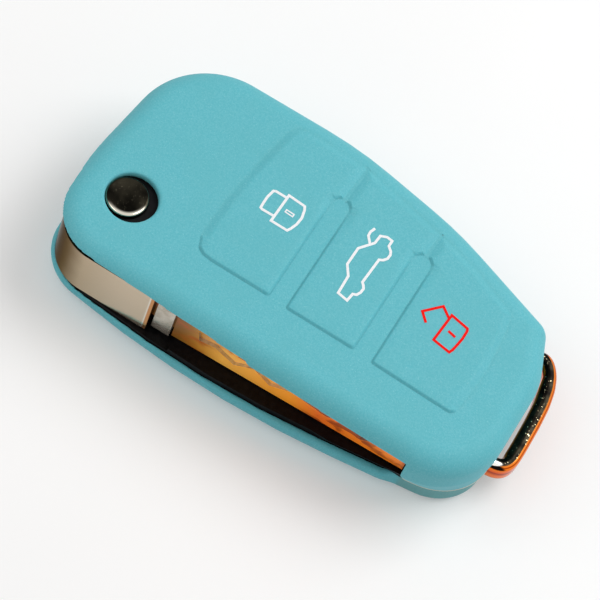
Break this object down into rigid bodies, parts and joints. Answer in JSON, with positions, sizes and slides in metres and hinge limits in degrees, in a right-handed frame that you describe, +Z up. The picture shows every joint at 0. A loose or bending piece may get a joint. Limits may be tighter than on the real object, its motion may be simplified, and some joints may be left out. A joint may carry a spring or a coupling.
{
  "type": "key fob cover",
  "caption": "Soft silicone cover on a flip key fob, with raised button pads, a side opening for the folding blade, a release button and a ring loop.",
  "frame": {"origin": "middle of the bounding box on the flat base, under the silicone cover", "axes": "+X from the blade pivot to the ring loop, -Y is the side with the blade, +Z up out of the face with the pads"},
  "size_m": [0.0774, 0.041, 0.019],
  "materials": {
    "silicone": "satin turquoise silicone",
    "case_plastic": "fine matt black",
    "keypad_rubber": "matt grey rubber",
    "key_plastic": "matt black",
    "board": "green solder mask",
    "switch_metal": "tinned",
    "chip": "matt black moulding",
    "coil": "enamelled wire",
    "cell_steel": "plated steel",
    "clip_brass": "plated brass",
    "black_nickel": "black nickel",
    "arm_plastic": "polished dark plastic that mirrors the table",
    "blade_steel": "nickel plated",
    "pin_steel": "ground",
    "button_plastic": "gloss black",
    "spring_steel": "drawn wire",
    "white_print": "white print",
    "red_print": "red print"
  },
  "bodies": {
    "fob": {"cover_sleeve": "silicone", "lower_case": "case_plastic", "upper_case": "case_plastic", "keypad_web": "keypad_rubber", "circuit_board": "board", "lock_switch": "switch_metal", "boot_switch": "switch_metal", "unlock_switch": "switch_metal", "controller_chip": "chip", "timing_crystal": "switch_metal", "antenna_coil": "coil", "transponder_chip": "chip", "coin_cell": "cell_steel", "cell_clip_upper": "clip_brass", "cell_clip_lower": "clip_brass", "ring_loop": "black_nickel"},
    "blade_arm": {"blade_hub": "arm_plastic", "blade_collar": "arm_plastic", "key_blade": "blade_steel", "blade_pin": "pin_steel"},
    "release": {"release_button": "button_plastic", "flip_spring": "spring_steel"},
    "lock_button": {"lock_pad": "silicone", "lock_mark": "white_print", "lock_key": "key_plastic", "lock_plunger": "keypad_rubber"},
    "boot_button": {"boot_pad": "silicone", "boot_mark": "white_print", "boot_key": "key_plastic", "boot_plunger": "keypad_rubber"},
    "unlock_button": {"unlock_pad": "silicone", "unlock_mark": "red_print", "unlock_key": "key_plastic", "unlock_plunger": "keypad_rubber"}
  },
  "joints": [
    {"name": "blade_flip", "type": "hinge", "parent": "fob", "child": "blade_arm", "pos_m": [-0.0302, -0.0077, 0.0104], "axis": [0, 0, -1], "range_deg": [0, 180]},
    {"name": "release_press", "type": "slide", "parent": "blade_arm", "child": "release", "axis": [0, 0, -1], "range_m": [0, 0.002], "stiffness_N_per_m": 2000, "deforming": ["flip_spring"]},
    {"name": "lock_press", "type": "slide", "parent": "fob", "child": "lock_button", "axis": [0, 0, -1], "range_m": [0, 0.0004], "stiffness_N_per_m": 4000},
    {"name": "boot_press", "type": "slide", "parent": "fob", "child": "boot_button", "axis": [0, 0, -1], "range_m": [0, 0.0004], "stiffness_N_per_m": 4000},
    {"name": "unlock_press", "type": "slide", "parent": "fob", "child": "unlock_button", "axis": [0, 0, -1], "range_m": [0, 0.0004], "stiffness_N_per_m": 4000}
  ]
}
